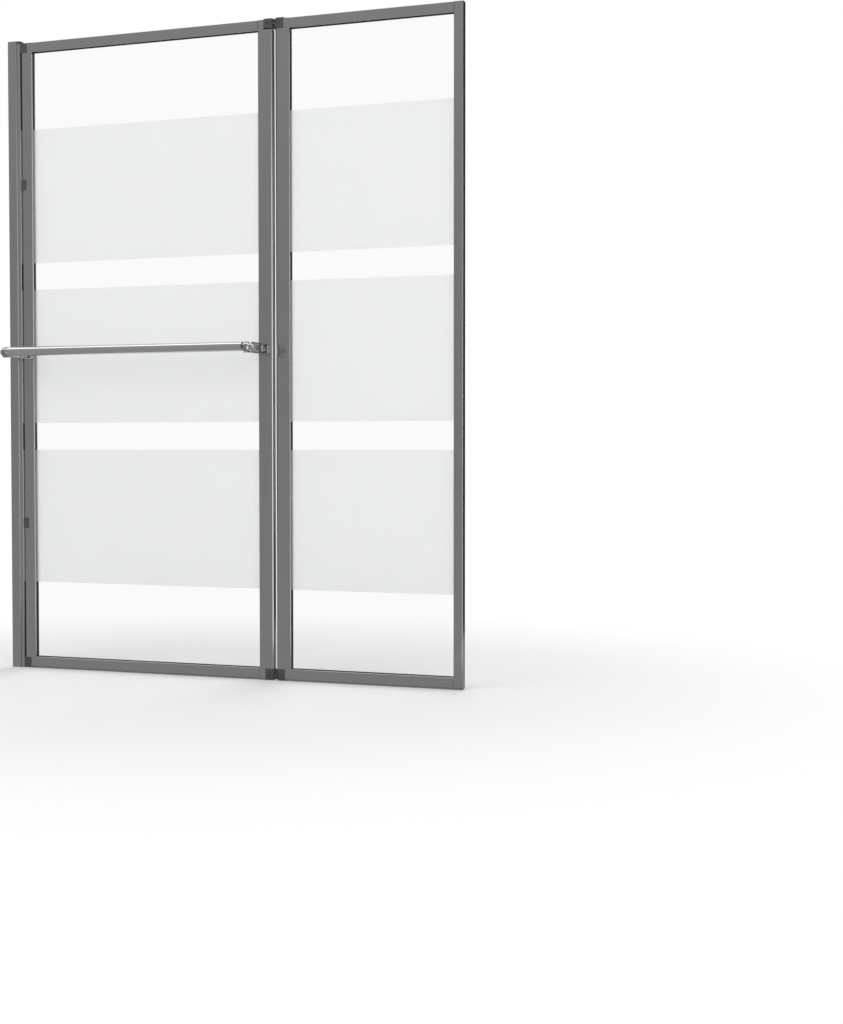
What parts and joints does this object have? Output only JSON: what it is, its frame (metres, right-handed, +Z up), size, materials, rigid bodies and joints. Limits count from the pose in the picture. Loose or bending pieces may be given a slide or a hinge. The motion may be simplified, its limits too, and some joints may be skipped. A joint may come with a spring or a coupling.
{
  "type": "folding bath screen",
  "caption": "Framed glass bath screen with frosted bands: a wall-hinged panel with a towel rail, and a narrower panel that folds on it through a double-pivot hinge.",
  "frame": {"origin": "foot of the wall profile's back face, in the middle of its width, level with the bath's rim", "axes": "+X along the screen away from the wall, +Y into the bath, +Z up"},
  "size_m": [1.0684, 0.1221, 1.4],
  "materials": {
    "grey_frame": "satin grey",
    "dark_plastic": "dark grey, fine grain",
    "glass": "clear with frosted bands",
    "glazing_gasket": "soft grey",
    "bottom_seal": "dark grey",
    "polished_rail": "polished",
    "fasteners": "bright",
    "inner_plastic": "black"
  },
  "bodies": {
    "wall": {"wall_profile": "grey_frame", "wall_profile_cap": "grey_frame"},
    "hinge_post": {"hinge_post": "grey_frame", "hinge_post_cap": "grey_frame", "adjuster_screws": "fasteners", "post_strips": "bottom_seal", "wall_hinge_top_block": "dark_plastic", "wall_hinge_bottom_block": "dark_plastic", "wall_hinge_lower_clip": "dark_plastic", "wall_hinge_upper_clip": "dark_plastic", "wall_hinge_pins": "fasteners"},
    "inner_panel": {"inner_hinge_stile": "grey_frame", "inner_centre_stile": "grey_frame", "inner_top_rail": "grey_frame", "inner_bottom_rail": "grey_frame", "inner_glass": "glass", "inner_glazing_gasket": "glazing_gasket", "inner_corner_keys": "inner_plastic", "inner_corner_screws": "fasteners", "inner_bottom_seal": "bottom_seal", "inner_top_hinge_cap": "dark_plastic", "inner_bottom_hinge_cap": "dark_plastic", "inner_hinge_pins": "fasteners", "towel_rail_tube": "polished_rail", "towel_rail_left_arm": "polished_rail", "towel_rail_right_arm": "polished_rail", "towel_rail_plugs": "inner_plastic", "towel_rail_end_screws": "polished_rail", "towel_rail_arm_screws": "fasteners"},
    "centre_links": {"top_link": "dark_plastic", "bottom_link": "dark_plastic"},
    "outer_panel": {"outer_centre_stile": "grey_frame", "outer_free_stile": "grey_frame", "outer_top_rail": "grey_frame", "outer_bottom_rail": "grey_frame", "outer_glass": "glass", "outer_glazing_gasket": "glazing_gasket", "outer_corner_keys": "inner_plastic", "outer_corner_screws": "fasteners", "outer_bottom_seal": "bottom_seal", "outer_top_hinge_cap": "dark_plastic", "outer_bottom_hinge_cap": "dark_plastic", "outer_hinge_pins": "fasteners"}
  },
  "joints": [
    {"name": "post_adjust", "type": "slide", "parent": "wall", "child": "hinge_post", "axis": [1, 0, 0], "range_m": [0, 0.01]},
    {"name": "panel_swing", "type": "hinge", "parent": "hinge_post", "child": "inner_panel", "pos_m": [0.0424, 0, 0], "axis": [0, 0, 1], "range_deg": [-15, 90]},
    {"name": "fold_inner", "type": "hinge", "parent": "inner_panel", "child": "centre_links", "pos_m": [0.6387, 0, 0], "axis": [0, 0, 1], "range_deg": [-45, 90]},
    {"name": "fold_outer", "type": "hinge", "parent": "centre_links", "child": "outer_panel", "pos_m": [0.6603, 0, 0], "axis": [0, 0, 1], "range_deg": [-45, 90]}
  ],
  "couplings": [
    {"joint": "fold_inner", "follows": "fold_outer", "ratio": 1}
  ]
}
